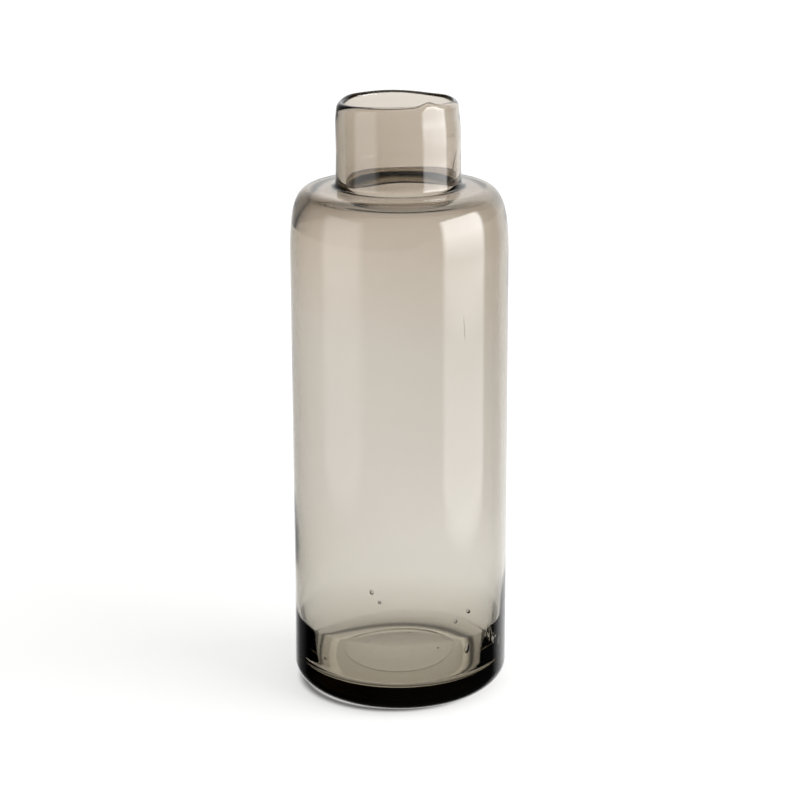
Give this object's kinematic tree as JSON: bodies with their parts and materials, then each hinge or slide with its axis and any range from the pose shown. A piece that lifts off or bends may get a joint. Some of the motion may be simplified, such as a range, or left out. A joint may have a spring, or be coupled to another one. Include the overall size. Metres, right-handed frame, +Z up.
{
  "type": "bottle vase",
  "caption": "Tall cylindrical bottle vase in smoky blown glass, with a heavy base, a flat rounded shoulder and a short wide neck with a wavy fire-polished lip.",
  "frame": {"origin": "centre of the ring that the vase stands on, at the bottom of the part", "axes": "+Z up along the vase's axis towards the mouth, -Y towards the viewer, +X to the viewer's right, with the lip's small raised nick at the front right"},
  "size_m": [0.11, 0.11, 0.307],
  "materials": {
    "smoky_glass": "transparent smoky taupe blown glass, fire-polished and glossy inside and out"
  },
  "bodies": {
    "root": {"glass_vase": "smoky_glass"}
  },
  "joints": []
}
